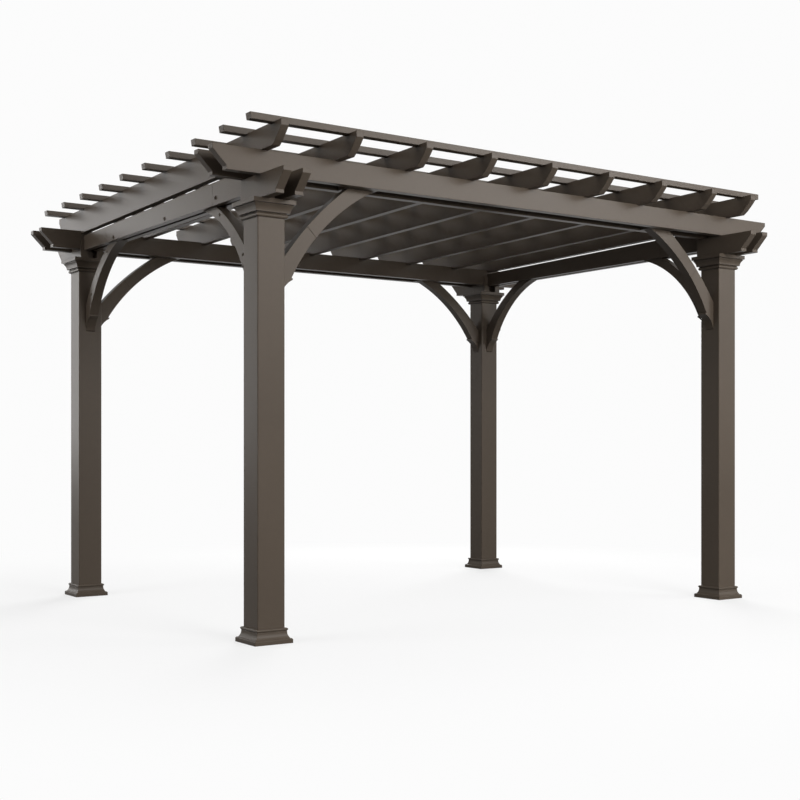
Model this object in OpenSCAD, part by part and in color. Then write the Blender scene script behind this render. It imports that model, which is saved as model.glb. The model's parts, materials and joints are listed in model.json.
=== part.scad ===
// Garden pergola: four trimmed posts, doubled side boards and doubled long boards
// stacked on them, notched rafters with slats let into them, and curved knee braces.
// The long boards lie lower at the back, and the rafters fall a little that way.
// The origin is on the ground at the middle of the plan. X runs the long way.

/* [Plan] */
// Post centres apart, the long way
span_x = 3300; // [2700:50:3960]
// Post centres apart, the short way
span_y = 2440; // [2000:20:2940]
// Height of the post crowns, where the side boards rest
post_h = 2192; // [1820:2:2640]
// Fall of the rafters from the front posts to the back posts
roof_fall = 35; // [20:1:46]

/* [Posts] */
// Width of the square post
post_w = 152; // [126:2:184]
// Radius of the post's upright edges
post_round = 5; // [2:0.5:8]
// Width of the plinth round the foot of a post
skirt_w = 212; // [200:2:256]
// Height of the skirt
skirt_h = 76; // [62:1:100]
// Width of the top band of the crown
crown_w = 236; // [224:2:284]
// Height of the crown
crown_h = 88; // [72:1:110]

/* [Boards] */
// Thickness of each of the eight beam boards
board_t = 46; // [36:1:56]
// Height of each beam board
board_h = 117; // [96:1:142]
// Clear gap between the two long boards of a pair
long_gap = 110; // [90:2:134]
// How much lower the long boards lie at the back
back_drop = 64; // [50:1:78]
// How far the boards run past the post centres
board_tail = 333; // [270:1:400]
// Height of the square nose at the top of a tail
tail_nose = 22; // [10:1:30]
// How far a tail is cut back from its nose to its underside
tail_run = 76; // [50:1:100]
// Height of the square heel at the bottom of a tail
tail_heel = 18; // [4:1:30]
// Distance from a post centre to the butt seam in a side board
seam_at = 470; // [300:5:600]
// How far the middle of a side board lies above the underside of its tails
run_rise = 47; // [36:1:56]
// Thickness of the middle of a side board
run_t = 36; // [30:1:42]
// How far the middle of an outer side board is set in from its tails
run_in = 22; // [12:1:26]
// Groove between the middles of two side boards
run_groove = 24; // [16:1:28]
// Gap left between the side boards and the rafters
shadow_gap = 15; // [6:1:20]

/* [Rafters] */
// Number of rafters
rafter_n = 9; // [5:1:12]
// Thickness of a rafter
rafter_t = 42; // [34:1:52]
// Height of a rafter
rafter_h = 152; // [126:1:184]
// Depth of the notch that sits over the long boards
notch_d = 45; // [20:1:55]
// How far the first rafter stands outside the post centres
rafter_out = 52; // [40:1:90]
// How far the last rafter is moved in from its even place
last_in = 75; // [0:5:100]
// How far the rafters run past the post centres
rafter_tail = 305; // [250:1:366]
// How far the end of a rafter is cut back at its underside
rafter_run = 89; // [60:1:115]

/* [Slats] */
// Number of roof slats
slat_n = 10; // [6:1:12]
// Width of a slat
slat_w = 50; // [40:1:60]
// Height of a slat
slat_h = 32; // [26:1:40]
// How deep the slats are let into the rafters
slat_let = 5; // [3:1:20]
// How far the slats run past the post centres at the left
slat_tail = 205; // [160:1:300]
// How far the slats run past the last rafter
slat_lip = 99; // [20:1:130]
// Distance of the front slat from the front ends of the rafters
slat_front_in = 60; // [30:1:120]
// Distance from the front slat to the next one, middle to middle
slat_first = 287; // [200:1:340]
// Distance of the last slat from the back ends of the rafters
slat_back_in = 88; // [30:1:140]
// How far the end of a slat is cut back at its underside
slat_cut = 5; // [2:1:30]

/* [Knee braces] */
// Thickness of a brace, and so the gap between two side boards
brace_t = 60; // [48:1:74]
// Inner end of a brace's top, from the post centre
brace_in = 475; // [420:5:520]
// Outer end of a brace's top, from the post centre
brace_out = 635; // [590:5:700]
// Drop from the front long boards to the point of a brace's foot
brace_drop = 590; // [540:5:640]
// Radius of the hollow edge under the long boards
hollow_r = 1100; // [900:10:1500]
// Radius of the back edge under the long boards
back_r = 1700; // [1300:10:2300]
// Radius of the hollow edge under the side boards
side_hollow_r = 770; // [640:10:1000]
// Radius of the back edge under the side boards
side_back_r = 1100; // [900:10:1500]
// Length of the block between the long boards over a brace
block_len = 180; // [150:5:220]

/* [Hidden] */
rafter_names = [for (i = [1 : rafter_n]) str("rafter_", i)];
slat_names = [for (i = [1 : slat_n]) str("slat_", i)];

bronze = [0.30, 0.27, 0.24];
dark_bronze = [0.25, 0.22, 0.20];
eps = 1; // overlap of cutting tools, never of pieces

// Far faces of a pair of boards, from a post centre
side_far = brace_t / 2 + board_t;
long_far = long_gap / 2 + board_t;

// Levels
side_z = post_h;
long_z = side_z + board_h;
seat_z = long_z + board_h;
back_z = long_z - back_drop;
back_seat_z = seat_z - back_drop;
rafter_z = seat_z - notch_d;
foot_z = long_z - brace_drop;

// Post mouldings
trim_depth = 2 * skirt_w; // length of the profiles that are crossed to make a ring
bead_out = 12; // how far a bead stands proud of the post
neck_out = 8; // how far a neck between two mouldings stands proud
neck_h = 4;
plinth_h = 0.32 * skirt_h;
skirt_bead_h = 0.2 * skirt_h;
skirt_cove_h = skirt_h - plinth_h - neck_h - skirt_bead_h;
crown_bead_h = 0.23 * crown_h;
crown_band_h = 0.25 * crown_h;
crown_cove_h = crown_h - crown_bead_h - crown_band_h - 2 * neck_h;
band_lip = 5; // how far a band stands out over its cove
plinth_chamfer = 5;

// Seams and clearances
seam_w = 2;
seam_d = 1.5;
notch_play = 0.3; // each side of a notch, and where a side board meets a long board
tail_lap = 8; // how far the tails of a side board reach past the ends of its middle

// Rafter tail: nose and the two bends, as shares of the cut's run and height
rafter_nose = 30;
bend_high = [0.25, 0.31];
bend_low = [0.66, 0.74];

// Brace foot: a nib stands out under the hollow edge, and a scoop runs to the point
foot_out = 71; // nib, from the post face
nib_step = 7;
nib_h = 9;
foot_h = 93; // from the point up to the nib's underside
heel_h = 172; // from the point up to where its back meets the post
scoop_r = 130;
brace_seam = [256, 345]; // middle of the seam, from the post centre and the point
brace_seam_turn = -46;
brace_seam_len = 240;

function flip(p) = [-p[0], p[1]];
function mirrored(right) = concat(right, [for (i = [len(right) - 1 : -1 : 0]) flip(right[i])]);

// Centre of the circle of radius r through p and q, on the right of the way from p to q
function arc_centre(p, q, r) =
  let (d = q - p, n = [d[1], -d[0]] / norm(d)) (p + q) / 2 + n * sqrt(r * r - d * d / 4);

// Distance from the middle of the plan to the tips of a straight run
function tip(span, tail) = span / 2 + tail;

// How far the roof has fallen at y
function fall(y) = roof_fall * (y / span_y + 0.5);

// The middle of a side board: where it ends, its underside, and its top at y
run_end = span_y / 2 - long_far - notch_play;
run_z = side_z + run_rise;
function run_top(y) = rafter_z - fall(y) - shadow_gap;

// Outer faces of the middles of an outer and an inner side board, from the post centre
outer_run = side_far - run_in;
inner_run = outer_run - run_t - run_groove;

// ---- posts ----

// Two crossed extrusions of one symmetric profile: a square, mitred moulding
module mitred() {
  intersection() {
    rotate([90, 0, 0]) linear_extrude(trim_depth, center = true) children();
    rotate([90, 0, 90]) linear_extrude(trim_depth, center = true) children();
  }
}

// A band of the given full width, standing on the level z
module band(w, h, z) {
  translate([-w / 2, z]) square([w, h]);
}

// A band with half-round sides
module bead(w, h, z) {
  band(w - h, h, z);
  for (side = [-1, 1])
    translate([side * (w - h) / 2, z + h / 2]) circle(d = h, $fn = 48);
}

// A band whose sides are hollowed from the narrow end to the wide end
module cove(narrow, wide, h, z, wide_end_up) {
  out = (wide - narrow) / 2;
  r = (out * out + h * h) / (2 * out);
  difference() {
    band(wide, h, z);
    for (side = [-1, 1])
      translate([side * (narrow / 2 + r), wide_end_up ? z : z + h]) circle(r, $fn = 96);
  }
}

module skirt_profile() {
  cove_z = plinth_h;
  neck_z = cove_z + skirt_cove_h;
  half = skirt_w / 2;
  low = plinth_h - plinth_chamfer;
  polygon(mirrored([[half, 0], [half, low], [half - plinth_chamfer, plinth_h]]));
  cove(post_w + 2 * neck_out, skirt_w - 2 * (plinth_chamfer + band_lip), skirt_cove_h, cove_z, false);
  band(post_w + 2 * neck_out, neck_h, neck_z);
  bead(post_w + 2 * bead_out, skirt_bead_h, neck_z + neck_h);
}

module crown_profile() {
  low_neck_z = crown_bead_h;
  cove_z = low_neck_z + neck_h;
  high_neck_z = cove_z + crown_cove_h;
  narrow = post_w + 2 * bead_out + 2 * neck_out;
  bead(post_w + 2 * bead_out, crown_bead_h, 0);
  band(post_w + 2 * neck_out, neck_h, low_neck_z);
  cove(narrow, crown_w - 2 * band_lip, crown_cove_h, cove_z, true);
  band(crown_w - 4 * band_lip, neck_h, high_neck_z);
  band(crown_w, crown_band_h, high_neck_z + neck_h);
}

module at_post(sx, sy) {
  translate([sx * span_x / 2, sy * span_y / 2, 0]) children();
}

// The post's section, with rounded corners
module post_section() {
  flat = post_w - 2 * post_round;
  square([post_w, flat], center = true);
  square([flat, post_w], center = true);
  for (sx = [-1, 1], sy = [-1, 1])
    translate([sx * flat / 2, sy * flat / 2]) circle(post_round, $fn = 48);
}

// Sleeve, with the core that rises between the boards
module post(sx, sy) {
  top = sy > 0 ? back_seat_z : seat_z;
  color(bronze) at_post(sx, sy) {
    linear_extrude(post_h) post_section();
    translate([-brace_t / 2, -long_gap / 2, post_h]) cube([brace_t, long_gap, top - post_h]);
  }
}

module trim(sx, sy) {
  color(dark_bronze) at_post(sx, sy) difference() {
    union() {
      mitred() skirt_profile();
      translate([0, 0, post_h - crown_h]) mitred() crown_profile();
    }
    translate([0, 0, -eps]) linear_extrude(post_h + 2 * eps) post_section();
  }
}

// ---- boards ----

module board_outline(span) {
  t = tip(span, board_tail);
  polygon(mirrored([
    [t - tail_run, 0], [t - tail_run, tail_heel], [t, board_h - tail_nose], [t, board_h]]));
}

// The tails of a side board, which rest on the crowns
module side_tails() {
  inner = run_end - tail_lap;
  difference() {
    board_outline(span_y);
    translate([-inner, -eps]) square([2 * inner, board_h + 2 * eps]);
  }
}

// The middle of a side board, whose top falls with the roof
module side_run() {
  polygon([[-run_end, run_z], [run_end, run_z], [run_end, run_top(run_end)],
           [-run_end, run_top(-run_end)]]);
}

// Grooves round a side board where its end pieces butt against its middle
module side_seams() {
  for (side = [-1, 1]) {
    y = side * (span_y / 2 - seam_at);
    h = run_top(y) - run_z;
    translate([0, y, run_z]) difference() {
      translate([-eps, -seam_w / 2, -eps]) cube([run_t + 2 * eps, seam_w, h + 2 * eps]);
      translate([seam_d, -seam_w, seam_d]) cube([run_t - 2 * seam_d, 2 * seam_w, h - 2 * seam_d]);
    }
  }
}

// Along Y on one side of the plan; both places are outer faces, from the post centres
module side_board(side, tail_face, run_face) {
  color(bronze) mirror([side > 0 ? 0 : 1, 0, 0]) {
    translate([span_x / 2 + tail_face - board_t, 0, side_z])
      rotate([90, 0, 90]) linear_extrude(board_t) side_tails();
    translate([span_x / 2 + run_face - run_t, 0, 0]) difference() {
      rotate([90, 0, 90]) linear_extrude(run_t) side_run();
      side_seams();
    }
  }
}

// Along X, with its low Y face at y
module long_board(y, z) {
  color(bronze) translate([0, y + board_t, z])
    rotate([90, 0, 0]) linear_extrude(board_t) children();
}

// The back boards are notched over the tails of the side boards
module back_outline() {
  wide = 2 * side_far + 2 * notch_play;
  difference() {
    board_outline(span_x);
    for (side = [-1, 1])
      translate([side * span_x / 2 - wide / 2, -eps]) square([wide, back_drop + eps]);
  }
}

// ---- rafters and slats ----

// One end of a rafter, from its notch to its nose, over boards whose tops are at seat
function rafter_end(side, seat) =
  let (t = side * tip(span_y, rafter_tail), inner = side * run_end, run = side * rafter_run,
       nose = rafter_h - fall(t) - rafter_nose, drop = nose - seat)
  [[inner, -fall(inner)], [inner, seat], [t - run, seat],
   [t - bend_low[0] * run, nose - bend_low[1] * drop],
   [t - bend_high[0] * run, nose - bend_high[1] * drop],
   [t, nose], [t, rafter_h - fall(t)]];

// To the nearest tenth, so that a notch and what lies in it get the same numbers
function tenth(v) = round(v * 10) / 10;

// Middle of slat i, and how high its underside stands over the front underside of the rafters
function slat_y(i) =
  let (first = slat_front_in + slat_w / 2 - tip(span_y, rafter_tail), second = first + slat_first,
       last = tip(span_y, rafter_tail) - slat_back_in - slat_w / 2)
  i == 1 ? tenth(first) : tenth(second + (i - 2) * (last - second) / (slat_n - 2));
function slat_rise(i) = tenth(rafter_h - fall(slat_y(i)) - slat_let);

module rafter_outline() {
  front_end = rafter_end(-1, seat_z - rafter_z);
  back_end = rafter_end(1, back_seat_z - rafter_z);
  difference() {
    polygon(concat(back_end, [for (i = [len(front_end) - 1 : -1 : 0]) front_end[i]]));
    for (i = [1 : slat_n])
      translate([slat_y(i) - slat_w / 2 - notch_play, slat_rise(i)])
        square([slat_w + 2 * notch_play, slat_h]);
  }
}

function rafter_x(i) =
  let (reach = span_x / 2 + rafter_out)
  i == rafter_n ? reach - last_in : -reach + (i - 1) * 2 * reach / (rafter_n - 1);

module rafter(i) {
  color(dark_bronze) translate([rafter_x(i) - rafter_t / 2, 0, rafter_z])
    rotate([90, 0, 90]) linear_extrude(rafter_t) rafter_outline();
}

module slat(i) {
  low = -tip(span_x, slat_tail);
  high = rafter_x(rafter_n) + rafter_t / 2 + slat_lip;
  color(bronze) translate([0, slat_y(i) + slat_w / 2, rafter_z + slat_rise(i)])
    rotate([90, 0, 0]) linear_extrude(slat_w)
      polygon([[low + slat_cut, 0], [high, 0], [high, slat_h], [low, slat_h]]);
}

// ---- knee braces ----

// Seen from the side: the post centre is at x = 0 and the point of the foot at y = 0
module brace_outline(top, hollow_radius, back_radius) {
  face = post_w / 2;
  nib = [face + foot_out, foot_h];
  hollow_end = [nib[0] - nib_step, nib[1] + nib_h];
  back = arc_centre([face, heel_h], [brace_in, top], back_radius);
  hollow = arc_centre(hollow_end, [brace_out, top], hollow_radius);
  scoop = arc_centre([face, 0], nib, scoop_r);
  difference() {
    intersection() {
      translate([face, 0]) square([brace_out - face, top]);
      translate(back) circle(back_radius, $fn = 360);
    }
    intersection() {
      translate(hollow) circle(hollow_radius, $fn = 360);
      translate(hollow_end) square([brace_out, top]);
    }
    translate([nib[0], -eps]) square([brace_out, foot_h + nib_h + 2 * eps]);
    translate(scoop) circle(scoop_r, $fn = 96);
  }
}

module brace_seams() {
  for (face = [-1, 1]) translate([brace_seam[0], brace_seam[1], face * brace_t / 2])
    rotate(brace_seam_turn) cube([brace_seam_len, seam_w, 2 * seam_d], center = true);
}

// Reaching from its post along +X up to top_z, its middle plane on y = 0
module brace(top_z, hollow_radius, back_radius) {
  translate([0, 0, foot_z]) rotate([90, 0, 0]) difference() {
    linear_extrude(brace_t, center = true)
      brace_outline(top_z - foot_z, hollow_radius, back_radius);
    brace_seams();
  }
}

// A brace under the long boards
module brace_x(sx, sy) {
  color(bronze) at_post(sx, sy) rotate(sx > 0 ? 180 : 0)
    brace(sy > 0 ? back_z : long_z, hollow_r, back_r);
}

// A brace under the side boards
module brace_y(sx, sy) {
  color(bronze) at_post(sx, sy) rotate(sy > 0 ? -90 : 90)
    brace(run_z, side_hollow_r, side_back_r);
}

// Blocks that close the gap between the long boards where a brace meets them
module brace_blocks() {
  from_post = (brace_in + brace_out) / 2;
  color(dark_bronze) for (sx = [-1, 1], sy = [-1, 1])
    translate([sx * (span_x / 2 - from_post), sy * span_y / 2, (sy > 0 ? back_z : long_z) + board_h / 2])
      cube([block_len, long_gap, board_h], center = true);
}

// ---- assembly ----

front = -span_y / 2;
back = span_y / 2;

post(-1, -1);  // post_front_left
post(1, -1);  // post_front_right
post(-1, 1);  // post_back_left
post(1, 1);  // post_back_right
trim(-1, -1);  // trim_front_left
trim(1, -1);  // trim_front_right
trim(-1, 1);  // trim_back_left
trim(1, 1);  // trim_back_right
side_board(-1, side_far, outer_run);  // side_board_left_outer
side_board(-1, -brace_t / 2, inner_run);  // side_board_left_inner
side_board(1, -brace_t / 2, inner_run);  // side_board_right_inner
side_board(1, side_far, outer_run);  // side_board_right_outer
long_board(front - long_far, long_z) board_outline(span_x);  // front_board_outer
long_board(front + long_gap / 2, long_z) board_outline(span_x);  // front_board_inner
long_board(back - long_far, back_z) back_outline();  // back_board_inner
long_board(back + long_gap / 2, back_z) back_outline();  // back_board_outer
brace_x(-1, -1);  // brace_front_left_x
brace_x(1, -1);  // brace_front_right_x
brace_x(-1, 1);  // brace_back_left_x
brace_x(1, 1);  // brace_back_right_x
brace_y(-1, -1);  // brace_front_left_y
brace_y(1, -1);  // brace_front_right_y
brace_y(-1, 1);  // brace_back_left_y
brace_y(1, 1);  // brace_back_right_y
brace_blocks();
for (i = [1 : rafter_n]) rafter(i);
for (i = [1 : slat_n]) slat(i);
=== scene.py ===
import json
import math
import bpy
import numpy as np
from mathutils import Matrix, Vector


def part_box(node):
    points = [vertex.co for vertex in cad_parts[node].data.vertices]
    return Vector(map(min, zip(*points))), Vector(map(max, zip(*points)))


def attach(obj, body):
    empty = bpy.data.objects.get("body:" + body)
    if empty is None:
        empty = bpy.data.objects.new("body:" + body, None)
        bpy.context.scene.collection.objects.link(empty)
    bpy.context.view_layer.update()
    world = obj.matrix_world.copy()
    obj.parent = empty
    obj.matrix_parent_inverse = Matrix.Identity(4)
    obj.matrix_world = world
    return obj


# A garden pergola in satin bronze powder coat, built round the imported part.
# Metres throughout; the origin is on the ground at the middle of the plan.

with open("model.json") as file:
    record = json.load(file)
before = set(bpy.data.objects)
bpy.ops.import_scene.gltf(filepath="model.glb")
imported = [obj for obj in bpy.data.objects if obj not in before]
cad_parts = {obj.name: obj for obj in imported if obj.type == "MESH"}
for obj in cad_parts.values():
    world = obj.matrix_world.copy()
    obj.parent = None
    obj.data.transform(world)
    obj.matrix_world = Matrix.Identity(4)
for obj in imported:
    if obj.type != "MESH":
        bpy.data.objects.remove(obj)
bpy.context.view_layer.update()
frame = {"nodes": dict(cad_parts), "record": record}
nodes = frame["nodes"]
print("frame loaded:", len(nodes), "nodes")

# ---- camera ----

cameraSet = {
    "place": (-4.706, -6.884, 0.987),
    "heading": 55.61,  # degrees from +X towards +Y, looking level
    "lens": 57.8,
    "shiftY": 0.055,
    "reach": 200.0,
}


def placeCamera(s):
    data = bpy.data.cameras.new("camera")
    data.lens = s["lens"]
    data.shift_y = s["shiftY"]
    data.clip_end = s["reach"]
    camera = bpy.data.objects.new("camera", data)
    bpy.context.scene.collection.objects.link(camera)
    camera.location = s["place"]
    camera.rotation_euler = (math.pi / 2, 0.0, math.radians(s["heading"] - 90.0))
    bpy.context.scene.camera = camera


placeCamera(cameraSet)
print("camera placed")

# ---- shader helpers ----


class Wire:
    # one output socket or number; arithmetic on it adds Math nodes
    def __init__(self, graph, value):
        self.graph = graph
        self.value = value

    def maths(self, operation, *others):
        return self.graph.node("ShaderNodeMath", {"operation": operation}, [self, *others])

    def __add__(self, other): return self.maths("ADD", other)
    def __radd__(self, other): return self.graph.wire(other).maths("ADD", self)
    def __sub__(self, other): return self.maths("SUBTRACT", other)
    def __rsub__(self, other): return self.graph.wire(other).maths("SUBTRACT", self)
    def __mul__(self, other): return self.maths("MULTIPLY", other)
    def __rmul__(self, other): return self.graph.wire(other).maths("MULTIPLY", self)


class Graph:
    # builds the nodes of one material or world
    def __init__(self, owner):
        owner.use_nodes = True
        self.tree = owner.node_tree
        self.tree.nodes.clear()

    def wire(self, value):
        return value if isinstance(value, Wire) else Wire(self, value)

    # settings go in first, then inputs by place or name; out names the socket that is returned
    def node(self, kind, settings=None, inputs=(), out=0):
        made = self.tree.nodes.new(kind)
        for key, value in (settings or {}).items():
            if key == "stops":
                ramp = made.color_ramp  # a new ramp has two stops, and every ramp here has two
                for element, (at, colour) in zip(ramp.elements, value):
                    element.position = at
                    element.color = colour
            else:
                setattr(made, key, value)
        pairs = inputs.items() if isinstance(inputs, dict) else enumerate(inputs)
        for key, value in pairs:
            value = value.value if isinstance(value, Wire) else value
            if isinstance(value, bpy.types.NodeSocket):
                self.tree.links.new(value, made.inputs[key])
            else:
                made.inputs[key].default_value = value
        return Wire(self, made.outputs[out]) if made.outputs else made


def colourOf(rgb):
    return (*rgb, 1.0)


def greyOf(level):
    return (level, level, level, 1.0)


# ---- finishes ----

coatSet = {
    "tone": (0.0850, 0.0665, 0.0505),
    "lighter": 1.06,  # light patches, as a share of the tone
    "darker": 0.94,
    "darkBelow": 0.32,  # where on the blended noise the two tones are reached
    "lightAbove": 0.68,
    "gloss": 0.055,  # a satin coat reflects far less than bare plastic
    "roughness": 0.38,
    "roughPatch": 0.06,  # how far the roughness wanders with the patches and the grain
    "roughGrain": 0.04,
    "patchScale": 2.2,  # patches to the metre
    "patchShare": 0.55,
    "streakScale": 38.0,
    "streakShare": 0.20,
    "grainScale": 520.0,
    "grainShare": 0.25,
    "peelScale": 240.0,  # orange peel, dimples to the metre
    "peelDepth": 0.00010,
    "peelStrength": 0.5,
    "edgeRadius": 0.0035,  # the coat rounds every sharp edge a little
    "edgeSamples": 4,
}


def noise(g, place, scale, detail, roughness=0.5):
    return g.node("ShaderNodeTexNoise", inputs={
        "Vector": place, "Scale": scale, "Detail": detail, "Roughness": roughness})


def coatMaterial(name, s, tint=1.0):
    material = bpy.data.materials.new(name)
    g = Graph(material)
    place = g.node("ShaderNodeTexCoord", out="Object")
    patches = noise(g, place, s["patchScale"], 3.0, 0.55)
    streaks = noise(g, place, s["streakScale"], 2.0)
    grain = noise(g, place, s["grainScale"], 1.0)
    peel = noise(g, place, s["peelScale"], 2.0, 0.4)
    dark = tuple(c * tint * s["darker"] for c in s["tone"])
    light = tuple(c * tint * s["lighter"] for c in s["tone"])
    blend = (patches * s["patchShare"] + streaks * s["streakShare"]
             + grain * s["grainShare"])
    colour = g.node("ShaderNodeValToRGB", {"stops": [
        (s["darkBelow"], colourOf(dark)), (s["lightAbove"], colourOf(light))]}, [blend])
    rough = (s["roughness"] + (patches - 0.5) * s["roughPatch"]
             + (grain - 0.5) * s["roughGrain"])
    soft = g.node("ShaderNodeBevel", {"samples": s["edgeSamples"]},
                  {"Radius": s["edgeRadius"]})
    bump = g.node("ShaderNodeBump", inputs={
        "Height": peel, "Strength": s["peelStrength"],
        "Distance": s["peelDepth"], "Normal": soft})
    shader = g.node("ShaderNodeBsdfPrincipled", inputs={
        "Base Color": colour, "Roughness": rough, "Normal": bump,
        "Specular IOR Level": s["gloss"]})
    g.node("ShaderNodeOutputMaterial", inputs=[shader])
    return material


coats = {
    "posts": coatMaterial("postCoat", coatSet),
    "trim": coatMaterial("trimCoat", coatSet, 0.97),
    "beams": coatMaterial("beamCoat", coatSet),
    "braces": coatMaterial("braceCoat", coatSet, 0.98),
    "rafters": coatMaterial("rafterCoat", coatSet, 0.95),
    "slats": coatMaterial("slatCoat", coatSet, 0.95),
}
slotOf = {p["node"]: p["material_slot"] for p in frame["record"]["subparts"]}
for name, node in nodes.items():
    node.data.materials.clear()
    node.data.materials.append(coats[slotOf[name]])
print("coats given")

# ---- bolts and screws ----

boltSet = {
    "washer": 0.0125,  # radius
    "washerThick": 0.0018,
    "head": 0.0090,  # radius
    "headHigh": 0.0052,
    "key": 0.0036,  # half the width across the flats of the six-sided socket
    "keyDeep": 0.0030,
    "sunk": 0.0006,
    "around": 48,
}
screwSet = {
    "washer": 0.0090,
    "washerThick": 0.0012,
    "head": 0.0068,
    "headHigh": 0.0036,
    "key": 0.0024,
    "keyDeep": 0.0020,
    "sunk": 0.0006,
    "around": 36,
}
headSet = {  # shares and small steps that every head has
    "rimSoft": 0.45,  # radius of the washer's rounded rim, as a share of its thickness
    "flatTop": 0.62,  # radius of the dome's flat top, as a share of the head's
    "gap": 0.0004,  # from the head's side out to where the washer's top begins
    "neck": 0.0003,
    "shoulder": 0.0006,  # straight height of the head's side above the washer
    "keyMouth": 1.06,  # the socket is a little wider at its mouth and narrower at its floor
    "keyFloor": 0.98,
    "keyChamfer": 0.0002,
    "arcPoints": 6,
    "sharpFrom": 35.0,  # degrees
}


def headProfile(s, h):
    # radius and height from the sunk foot, round the washer's rim and up over the domed head
    turn = np.linspace(0.0, np.pi / 2, h["arcPoints"])
    washer, thick, head, high = s["washer"], s["washerThick"], s["head"], s["headHigh"]
    soft = thick * h["rimSoft"]
    side = thick + h["shoulder"]
    foot = [[washer, -s["sunk"]]]
    rim = np.stack([washer - soft + soft * np.cos(turn), thick - soft + soft * np.sin(turn)], 1)
    seat = [[head + h["gap"], thick], [head, thick + h["neck"]]]
    dome = np.stack([head * (h["flatTop"] + (1 - h["flatTop"]) * np.cos(turn)),
                     side + (high - side) * np.sin(turn)], 1)
    return np.vstack([foot, rim, seat, dome])


def headSurface(s, h):
    # the profile turned about the axis, then three six-sided rings for the socket: their
    # radius = flats / cos(angle folded into one sixth of a turn)
    profile = headProfile(s, h)
    angle = np.linspace(0.0, 2 * np.pi, s["around"], endpoint=False)
    sixth = (angle + np.pi / 6) % (np.pi / 3) - np.pi / 6
    flats = s["key"] / np.cos(sixth)
    high = s["headHigh"]
    levels = np.array([high, high - h["keyChamfer"], high - s["keyDeep"]])
    radius = np.vstack([np.repeat(profile[:, :1], s["around"], 1),
                        flats * h["keyMouth"], flats, flats * h["keyFloor"]])
    height = np.vstack([np.repeat(profile[:, 1:], s["around"], 1),
                        np.repeat(levels[:, None], s["around"], 1)])
    return np.stack([radius * np.cos(angle), radius * np.sin(angle), height], 2)


def closedRings(grid):
    # a grid of rings with a point at each end: quads between rings, a fan over each end
    rings, around = grid.shape[:2]
    ends = np.array([grid[0].mean(0), grid[-1].mean(0)])
    points = np.vstack([grid.reshape(-1, 3), ends])
    i = np.arange(around)
    j = (i + 1) % around
    rows = np.arange(rings - 1)[:, None] * around
    quads = np.stack([rows + i, rows + j, rows + around + j, rows + around + i], 2)
    last = (rings - 1) * around
    foot = np.stack([j, i, np.full(around, rings * around)], 1)
    cap = np.stack([last + i, last + j, np.full(around, rings * around + 1)], 1)
    return points, quads.reshape(-1, 4), np.vstack([foot, cap])


def fixings(name, slot, places, towards, s):
    # one head repeated at every place, turned (not mirrored) so that its axis points along
    # +X or -X, which towards gives as +1 or -1
    points, quads, fans = closedRings(headSurface(s, headSet))
    turned = np.stack([points[:, 2] * towards, points[:, 0] * towards, points[:, 1]], 1)
    shifts = np.arange(len(places))[:, None, None] * len(points)
    allPoints = (np.asarray(places)[:, None, :] + turned).reshape(-1, 3)
    allQuads = (quads + shifts).reshape(-1, 4)
    allFans = (fans + shifts).reshape(-1, 3)
    mesh = bpy.data.meshes.new(name)
    mesh.from_pydata(allPoints.tolist(), [], allQuads.tolist() + allFans.tolist())
    mesh.polygons.foreach_set("use_smooth", np.ones(len(mesh.polygons), bool))
    mesh.update()
    mesh.set_sharp_from_angle(angle=math.radians(headSet["sharpFrom"]))
    mesh.materials.append(coats[slot])
    piece = bpy.data.objects.new(name, mesh)
    bpy.context.scene.collection.objects.link(piece)
    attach(piece, "root")


fixingSet = {
    "runSetBack": 0.022,  # the middle run of a side board stands back from its tails
    "boardBolts": ((-0.784, 2.276), (-0.14, 2.260), (0.62, 2.256)),  # Y and Z
    "braceScrews": ((0.785, 2.190), (1.05, 1.95), (1.05, 1.89)),  # Y, on both sides, and Z
}


def outerFace(nodeName, towards):
    low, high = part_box(nodeName)
    return low[0] if towards < 0 else high[0]


for side, towards in (("left", -1), ("right", 1)):
    run = outerFace(f"side_board_{side}_outer", towards) - towards * fixingSet["runSetBack"]
    brace = outerFace(f"brace_front_{side}_y", towards)
    fixings(side + "BoardBolts", "beams",
            [(run, y, z) for y, z in fixingSet["boardBolts"]], towards, boltSet)
    fixings(side + "BraceScrews", "braces",
            [(brace, end * y, z) for end in (-1, 1) for y, z in fixingSet["braceScrews"]],
            towards, screwSet)
print("bolts and screws set")

# ---- floor and light ----

stageSet = {
    "floorHalf": 60.0,
    "white": 0.972,
    "shade": 0.26,  # how much of the floor's white is lit rather than plain
    "openLight": 1.13,  # what the lit part gets where nothing shades it
    "fadeFrom": 2.3,  # the lit part fades out between these distances from the middle
    "fadeTo": 4.6,
    "bounce": 0.02,  # what the floor throws back up at the object
    "worldLow": 0.58,
    "worldHigh": 0.32,
    "bandTop": 0.35,  # sine of the elevation where low turns to high
    "bandSoft": 0.1,
}


def shownToEye(g):
    # 1 where the camera, a reflection or a view through glass looks
    path = g.tree.nodes.new("ShaderNodeLightPath")
    eye = Wire(g, path.outputs["Is Camera Ray"])
    mirror = Wire(g, path.outputs["Is Glossy Ray"])
    through = Wire(g, path.outputs["Is Transmission Ray"])
    return eye.maths("MAXIMUM", mirror).maths("MAXIMUM", through)


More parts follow.
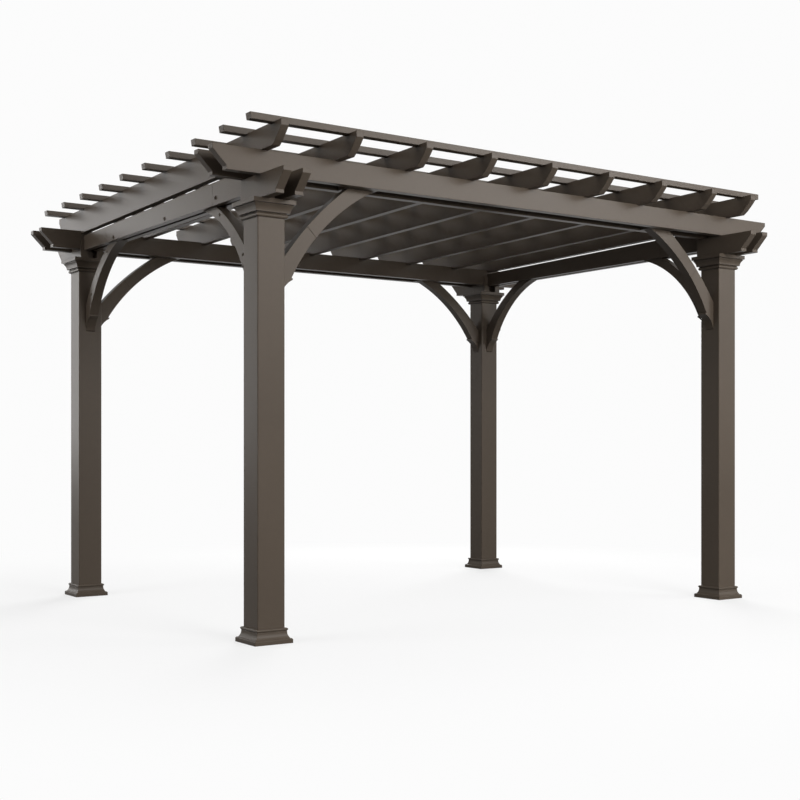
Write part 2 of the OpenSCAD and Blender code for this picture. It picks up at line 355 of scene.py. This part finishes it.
def layFloor(s):
    h = s["floorHalf"]
    mesh = bpy.data.meshes.new("floor")
    mesh.from_pydata([(-h, -h, 0), (h, -h, 0), (h, h, 0), (-h, h, 0)], [], [(0, 1, 2, 3)])
    floor = bpy.data.objects.new("floor", mesh)
    bpy.context.scene.collection.objects.link(floor)
    material = bpy.data.materials.new("floorWhite")
    g = Graph(material)
    place = g.node("ShaderNodeTexCoord", out="Object")
    away = g.node("ShaderNodeVectorMath", {"operation": "LENGTH"}, [place], out="Value")
    near = g.node("ShaderNodeMapRange", {"interpolation_type": "SMOOTHSTEP"}, {
        "Value": away, "From Min": s["fadeFrom"], "From Max": s["fadeTo"],
        "To Min": 1.0, "To Max": 0.0})
    plain = g.node("ShaderNodeEmission", inputs={"Color": greyOf(s["white"])})
    dimmed = s["white"] - s["shade"] * s["openLight"]
    base = g.node("ShaderNodeEmission", inputs={"Color": greyOf(dimmed)})
    matt = g.node("ShaderNodeBsdfDiffuse", inputs={"Color": greyOf(s["shade"])})
    lit = g.node("ShaderNodeAddShader", inputs=[base, matt])
    seen = g.node("ShaderNodeMixShader", inputs=[near, plain, lit])
    bounce = g.node("ShaderNodeBsdfDiffuse", inputs={"Color": greyOf(s["bounce"])})
    g.node("ShaderNodeOutputMaterial", inputs=[
        g.node("ShaderNodeMixShader", inputs=[shownToEye(g), bounce, seen])])
    mesh.materials.append(material)


def lightWorld(s):
    world = bpy.data.worlds.new("world")
    bpy.context.scene.world = world
    g = Graph(world)
    direction = g.node("ShaderNodeTexCoord", out="Generated")
    height = g.node("ShaderNodeSeparateXYZ", inputs=[direction], out="Z")
    sky = g.node("ShaderNodeMapRange", {"interpolation_type": "SMOOTHSTEP"}, {
        "Value": height, "From Min": s["bandTop"] - s["bandSoft"],
        "From Max": s["bandTop"] + s["bandSoft"],
        "To Min": s["worldLow"], "To Max": s["worldHigh"]})
    ambient = g.node("ShaderNodeBackground", inputs={"Color": greyOf(1.0), "Strength": sky})
    white = g.node("ShaderNodeBackground", inputs={"Color": greyOf(s["white"])})
    g.node("ShaderNodeOutputWorld", inputs=[
        g.node("ShaderNodeMixShader", inputs=[shownToEye(g), ambient, white])])


lampSet = {  # a sheen panel only shows on the coat, and lights nothing
    "frontBox": {"place": (0.0, -8.8, 3.2), "aim": (0.0, 0.0, 1.3),
                 "size": (4.0, 4.0), "watts": 510.0, "sheenOnly": False},
    "rightBox": {"place": (6.2, -6.2, 3.2), "aim": (0.0, 0.0, 1.3),
                 "size": (4.0, 4.0), "watts": 225.0, "sheenOnly": False},
    "leftBox": {"place": (-8.0, 0.0, 5.4), "aim": (0.0, 0.0, 1.3),
                "size": (4.0, 4.0), "watts": 190.0, "sheenOnly": False},
    "backBox": {"place": (5.8, 6.8, 4.2), "aim": (0.0, 0.0, 1.3),
                "size": (5.0, 4.0), "watts": 900.0, "sheenOnly": False},
    "rightSheen": {"place": (4.6, -8.0, 4.6), "aim": (0.0, 0.0, 1.6),
                   "size": (5.0, 2.4), "watts": 1150.0, "sheenOnly": True},
    "backSheen": {"place": (-4.0, 6.6, 2.6), "aim": (-1.7, 0.0, 1.8),
                  "size": (2.2, 3.8), "watts": 170.0, "sheenOnly": True},
}


def softBox(name, s):
    data = bpy.data.lights.new(name, "AREA")
    data.shape = "RECTANGLE"
    data.size, data.size_y = s["size"]
    data.energy = s["watts"]
    lamp = bpy.data.objects.new(name, data)
    bpy.context.scene.collection.objects.link(lamp)
    lamp.location = s["place"]
    way = np.subtract(s["aim"], s["place"])
    lamp.rotation_euler = (math.atan2(math.hypot(way[0], way[1]), -way[2]), 0.0,
                           math.atan2(-way[0], way[1]))
    lamp.visible_camera = False
    lamp.visible_diffuse = not s["sheenOnly"]


layFloor(stageSet)
lightWorld(stageSet)
for lampName, lamp in lampSet.items():
    softBox(lampName, lamp)
bpy.context.scene.view_settings.view_transform = "Standard"
print("floor and lamps set")
